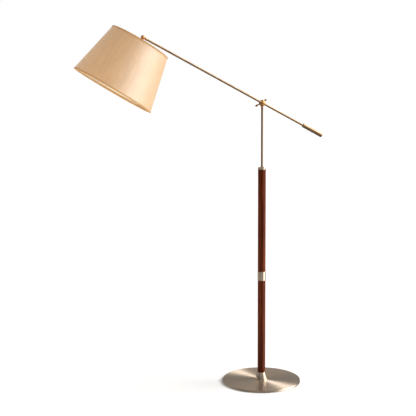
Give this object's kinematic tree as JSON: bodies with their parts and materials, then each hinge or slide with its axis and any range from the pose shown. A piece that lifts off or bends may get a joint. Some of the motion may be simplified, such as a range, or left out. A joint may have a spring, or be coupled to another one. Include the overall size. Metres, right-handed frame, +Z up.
{
  "type": "adjustable arm floor lamp",
  "caption": "Floor lamp with a round metal base, a wooden pole with metal fittings, a counterweighted tilting arm and a tapered fabric drum shade.",
  "frame": {"origin": "centre of the felt's flat underside, on the floor, under the pole's axis", "axes": "+Z up along the pole; the arm lies in the XZ plane at rest, its shade end towards -X and its counterweight towards +X; +Y is the back, where the wing key and the cord bush are"},
  "size_m": [1.112, 0.3792, 1.6177],
  "materials": {
    "felt": "pressed felt",
    "iron": "rough black",
    "brushed_nickel": "warm nickel, radially brushed",
    "polished_nickel": "warm nickel, polished",
    "steel": "plain zinc-plated steel",
    "bronzed_steel": "satin bronzed steel",
    "antique_brass": "antique brass, satin",
    "mahogany": "reddish-brown stain under satin lacquer",
    "linen": "tan linen weave",
    "lining": "cream backing sheet",
    "trim": "folded tan tape",
    "black_plastic": "matt black",
    "frosted_glass": "frosted white"
  },
  "bodies": {
    "base": {"base_felt": "felt", "base_weight": "iron", "base_cover": "brushed_nickel", "cord_bush": "black_plastic", "pole_washer": "steel", "pole_nut": "steel", "pole_core": "steel", "base_ferrule": "polished_nickel", "lower_pole": "mahogany", "middle_ring": "polished_nickel", "upper_pole": "mahogany", "pole_cap": "polished_nickel", "upper_rod": "bronzed_steel", "swivel_washer": "black_plastic"},
    "head": {"pivot_back": "antique_brass", "pivot_washer": "black_plastic"},
    "arm": {"pivot_front": "antique_brass", "arm_tube": "bronzed_steel", "counterweight": "bronzed_steel", "grub_screw": "steel", "arm_collar": "antique_brass", "knuckle_arm_half": "antique_brass", "knuckle_washer": "black_plastic", "knuckle_screw": "antique_brass"},
    "key": {"wing_key": "antique_brass", "clamp_bolt": "steel"},
    "shade": {"knuckle_shade_half": "antique_brass", "fitter_nut_upper": "antique_brass", "fitter_nut_lower": "antique_brass", "shade_spider": "steel", "shade_shell": "linen", "shade_lining": "lining", "trim_top": "trim", "trim_bottom": "trim", "bottom_wire": "steel", "socket_cap": "antique_brass", "socket_shell": "antique_brass", "socket_insulator": "black_plastic", "switch_boss": "antique_brass", "bulb_base": "steel", "bulb_glass": "frosted_glass"},
    "switch": {"switch_knob": "antique_brass"}
  },
  "joints": [
    {"name": "arm_swing", "type": "hinge", "parent": "base", "child": "head", "pos_m": [0, 0, 1.2546], "axis": [0, 0, 1], "range_deg": [-170, 170]},
    {"name": "arm_tilt", "type": "hinge", "parent": "head", "child": "arm", "pos_m": [0, 0, 1.279], "axis": [0, 1, 0], "range_deg": [-68, 22]},
    {"name": "key_turn", "type": "hinge", "parent": "arm", "child": "key", "pos_m": [0, 0.019, 1.279], "axis": [0, 1, 0], "range_deg": [0, 270]},
    {"name": "shade_tilt", "type": "hinge", "parent": "arm", "child": "shade", "pos_m": [-0.53269, -0.0076, 1.56582], "axis": [0, 1, 0], "range_deg": [-9, 50]},
    {"name": "switch_turn", "type": "hinge", "parent": "shade", "child": "switch", "pos_m": [-0.57698, -0.0076, 1.49211], "axis": [0, 1, 0], "continuous": true}
  ]
}
